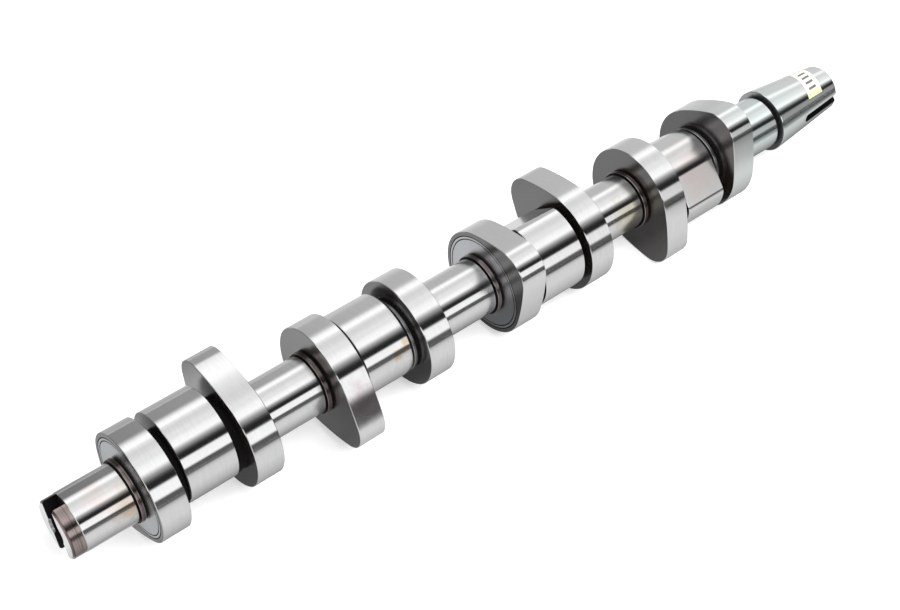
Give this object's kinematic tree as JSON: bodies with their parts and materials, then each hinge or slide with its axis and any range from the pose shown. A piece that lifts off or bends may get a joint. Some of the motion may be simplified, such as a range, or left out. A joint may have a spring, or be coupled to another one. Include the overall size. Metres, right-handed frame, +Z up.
{
  "type": "camshaft",
  "caption": "Steel camshaft with round bearing journals, pairs of valve lobes with a wide injector cam between each pair, a slotted pump-drive end and a keyed tapered nose.",
  "frame": {"origin": "centre of the middle journal, on the shaft's axis", "axes": "+X along the shaft from the slotted pump end to the tapered timing end; +Z up as the shaft lies at rest on its cams"},
  "size_m": [0.4254, 0.063, 0.063],
  "materials": {
    "ground_steel": "ground and polished bare steel, bright on the cams and journals, duller on the machined side faces",
    "paper": "matt off-white paper with a few plain dark marks"
  },
  "bodies": {
    "root": {"camshaft": "ground_steel", "label": "paper"}
  },
  "joints": []
}
